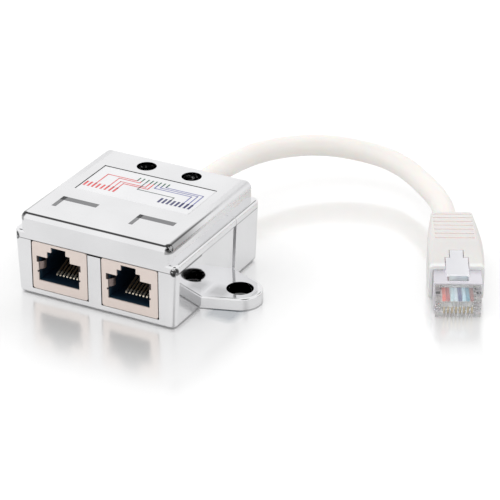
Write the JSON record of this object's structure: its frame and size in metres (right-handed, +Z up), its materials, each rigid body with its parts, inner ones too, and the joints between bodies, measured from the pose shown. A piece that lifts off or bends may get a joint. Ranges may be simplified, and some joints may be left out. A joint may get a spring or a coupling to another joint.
{
  "type": "ethernet adapter",
  "caption": "Plated twin-socket network adapter: side-by-side shielded jacks, a screw ear on each side and a short white cable ending in a booted shielded plug.",
  "frame": {"origin": "middle of the housing's foot, on the surface that it stands on", "axes": "+X to the right along the socket face, +Y from the socket face to the cable exit, +Z up"},
  "size_m": [0.1259, 0.1048, 0.023],
  "materials": {
    "plated_housing": "polished plating",
    "label_film": "white printed film",
    "screw_steel": "bright zinc",
    "board_laminate": "solder mask",
    "jack_shield_metal": "satin nickel",
    "jack_insert_plastic": "black moulding",
    "contact_gold": "gold flash",
    "gland_plastic": "satin",
    "wire_insulation": "coloured insulation",
    "cable_jacket": "satin soft plastic",
    "boot_plastic": "satin soft plastic",
    "plug_clear": "clear moulding",
    "plug_shield_metal": "bright nickel"
  },
  "bodies": {
    "adapter": {"base_housing": "plated_housing", "lid": "plated_housing", "wiring_label": "label_film", "lid_screw_left": "screw_steel", "lid_screw_right": "screw_steel", "circuit_board": "board_laminate", "left_jack_shield": "jack_shield_metal", "right_jack_shield": "jack_shield_metal", "left_jack_insert": "jack_insert_plastic", "right_jack_insert": "jack_insert_plastic", "left_jack_contacts": "contact_gold", "right_jack_contacts": "contact_gold", "cable_gland": "gland_plastic", "board_wires": "wire_insulation", "cable": "cable_jacket", "plug_boot": "boot_plastic", "plug_shield": "plug_shield_metal", "plug_body": "plug_clear", "plug_contacts": "contact_gold", "plug_conductors": "wire_insulation"},
    "latch": {"plug_latch": "plug_clear"}
  },
  "joints": [
    {"name": "latch_press", "type": "hinge", "parent": "adapter", "child": "latch", "pos_m": [0.08182, 0.02165, 0.00905], "axis": [-0.8918, -0.4524, 0], "range_deg": [0, 4.5], "stiffness_Nm_per_rad": 0.2}
  ]
}
